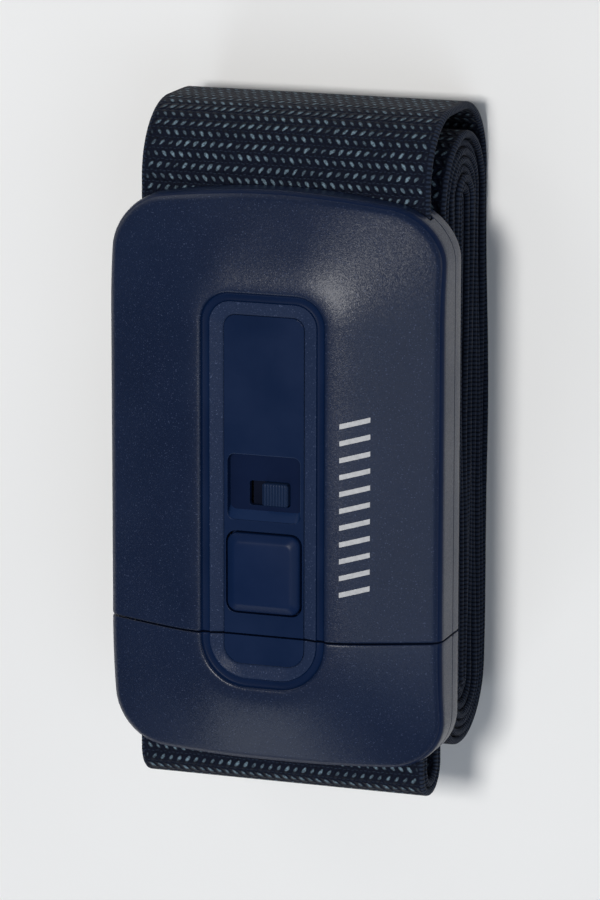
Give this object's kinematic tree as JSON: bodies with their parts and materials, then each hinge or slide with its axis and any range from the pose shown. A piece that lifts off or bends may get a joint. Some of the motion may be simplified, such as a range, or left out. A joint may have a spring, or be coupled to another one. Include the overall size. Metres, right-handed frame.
{
  "type": "luggage strap",
  "caption": "Wound webbing luggage strap with a crowned two-part buckle, a push button that frees the tongue and a small sliding lock.",
  "frame": {"origin": "centre of the bounding box's bottom face, on the surface that the wound webbing lies on", "axes": "+Z out of the buckle's face, +Y along the webbing towards the end where it enters the housing, +X to the right as the face is seen"},
  "size_m": [0.058, 0.1144, 0.0427],
  "materials": {
    "shell": "matt, fine grain",
    "panel": "smooth satin",
    "inner": "moulded",
    "steel": "plated",
    "webbing": "woven, with pale flecks",
    "thread": "twisted thread"
  },
  "bodies": {
    "housing": {"housing_front": "shell", "housing_back": "shell", "face_panel": "panel", "housing_screws": "steel", "button_spring": "steel", "slider_keeper": "inner", "slider_spring": "steel", "latch_leaf": "steel", "leaf_screw": "steel", "anchor_bar": "steel", "web_anchor": "webbing", "anchor_stitches": "thread", "web_wrap": "webbing", "web_hank": "webbing", "web_feed": "webbing"},
    "tongue": {"tongue_front": "shell", "tongue_back": "shell", "tongue_panel": "panel", "tongue_core": "inner", "adjuster_bar": "steel", "tongue_screws": "steel", "web_fold": "webbing", "web_tail": "webbing"},
    "button": {"release_button": "panel"},
    "lock": {"lock_slider": "panel"}
  },
  "joints": [
    {"name": "tongue_slide", "type": "slide", "parent": "housing", "child": "tongue", "axis": [0, -1, 0], "range_m": [0, 0.04]},
    {"name": "button_press", "type": "slide", "parent": "housing", "child": "button", "axis": [0, 0, -1], "range_m": [0, 0.0021], "stiffness_N_per_m": 600, "springref_m": -0.003, "deforming": ["button_spring", "latch_leaf"]},
    {"name": "lock_slide", "type": "slide", "parent": "housing", "child": "lock", "axis": [-1, 0, 0], "range_m": [0, 0.0022], "deforming": ["slider_spring"]}
  ]
}
